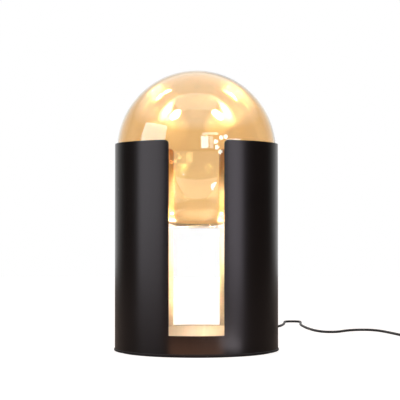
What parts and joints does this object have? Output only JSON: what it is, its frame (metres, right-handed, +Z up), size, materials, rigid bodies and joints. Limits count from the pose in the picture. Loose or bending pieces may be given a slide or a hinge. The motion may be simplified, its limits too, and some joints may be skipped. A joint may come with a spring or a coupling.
{
  "type": "table lamp",
  "caption": "Slotted black drum carrying an amber glass globe on a ring, with candle bulbs inside the drum, and a lead with a rocker switch and a plug.",
  "frame": {"origin": "middle of the lamp's underside, where its felt meets the table", "axes": "+Z up, -Y out of the wide slot (front), +X to the right as seen from the front"},
  "size_m": [0.4984, 0.6885, 0.3781],
  "materials": {
    "felt": "felt",
    "black_steel": "satin",
    "drum_black": "satin",
    "zinc_plate": "satin",
    "floor_white": "matte",
    "stand_white": "satin",
    "nickel": "polished",
    "gasket_pale": "matte",
    "amber_glass": "gloss",
    "brass": "satin",
    "holder_white": "gloss",
    "insert_cream": "matte",
    "lead_black": "matte",
    "clamp_black": "matte",
    "block_pale": "matte",
    "core_brown": "matte",
    "wire_white": "matte",
    "switch_black": "satin",
    "rocker_black": "satin",
    "tie_black": "matte",
    "plug_black": "satin",
    "solder": "dull",
    "cap_insulator": "gloss",
    "cap_nickel": "satin",
    "bulb_glass": "gloss",
    "stem_glass": "gloss",
    "filament_yellow": "glowing"
  },
  "bodies": {
    "lamp": {"base_felt": "felt", "base_plate": "black_steel", "drum": "drum_black", "drum_brackets": "zinc_plate", "standoffs": "zinc_plate", "post_screws": "zinc_plate", "bracket_screws": "zinc_plate", "floor_disc": "floor_white", "ring_posts": "stand_white", "post_nuts": "nickel", "globe_ring": "stand_white", "globe_gasket": "gasket_pale", "holder_nipples": "zinc_plate", "holder_locknuts": "zinc_plate", "holder_risers": "stand_white", "holder_contacts": "brass", "holder_sleeves": "brass", "left_holder": "holder_white", "right_holder": "holder_white", "left_holder_insert": "insert_cream", "right_holder_insert": "insert_cream", "strain_relief": "lead_black", "lead_tail": "lead_black", "clamp_saddle": "clamp_black", "clamp_bar": "clamp_black", "clamp_screws": "zinc_plate", "terminal_block": "block_pale", "terminal_screws": "nickel", "lead_cores": "core_brown", "left_wires": "wire_white", "right_wires": "wire_white", "switch_base": "switch_black", "switch_cover": "switch_black", "switch_screws": "zinc_plate", "rocker_pin": "nickel", "switch_terminals": "brass", "lead_to_switch": "lead_black", "lead_from_switch": "lead_black", "lead_coil": "lead_black", "lead_to_plug": "lead_black", "coil_tie": "tie_black", "plug_body": "plug_black", "plug_pins": "nickel"},
    "globe": {"globe": "amber_glass"},
    "switch_rocker": {"switch_rocker": "rocker_black"},
    "contact_lever": {"contact_lever": "brass"},
    "left_bulb": {"left_bulb_contact": "solder", "left_bulb_insulator": "cap_insulator", "left_bulb_cap": "cap_nickel", "left_bulb_glass": "bulb_glass", "left_bulb_stem": "stem_glass", "left_bulb_filaments": "filament_yellow"},
    "right_bulb": {"right_bulb_contact": "solder", "right_bulb_insulator": "cap_insulator", "right_bulb_cap": "cap_nickel", "right_bulb_glass": "bulb_glass", "right_bulb_stem": "stem_glass", "right_bulb_filaments": "filament_yellow"}
  },
  "joints": [
    {"name": "globe_lift", "type": "slide", "parent": "lamp", "child": "globe", "axis": [0, 0, 1], "range_m": [0, 0.12]},
    {"name": "left_bulb_unscrew", "type": "slide", "parent": "lamp", "child": "left_bulb", "axis": [0, 0, 1], "range_m": [0, 0.018]},
    {"name": "right_bulb_unscrew", "type": "slide", "parent": "lamp", "child": "right_bulb", "axis": [0, 0, 1], "range_m": [0, 0.018]},
    {"name": "rocker_tip", "type": "hinge", "parent": "lamp", "child": "switch_rocker", "pos_m": [0, 0.227, 0.011], "axis": [1, 0, 0], "range_deg": [-16, 0]},
    {"name": "lever_tip", "type": "hinge", "parent": "lamp", "child": "contact_lever", "pos_m": [0, 0.227, 0.0045], "axis": [1, 0, 0], "range_deg": [0, 9.6]}
  ],
  "couplings": [
    {"joint": "lever_tip", "follows": "rocker_tip", "ratio": -0.6}
  ]
}
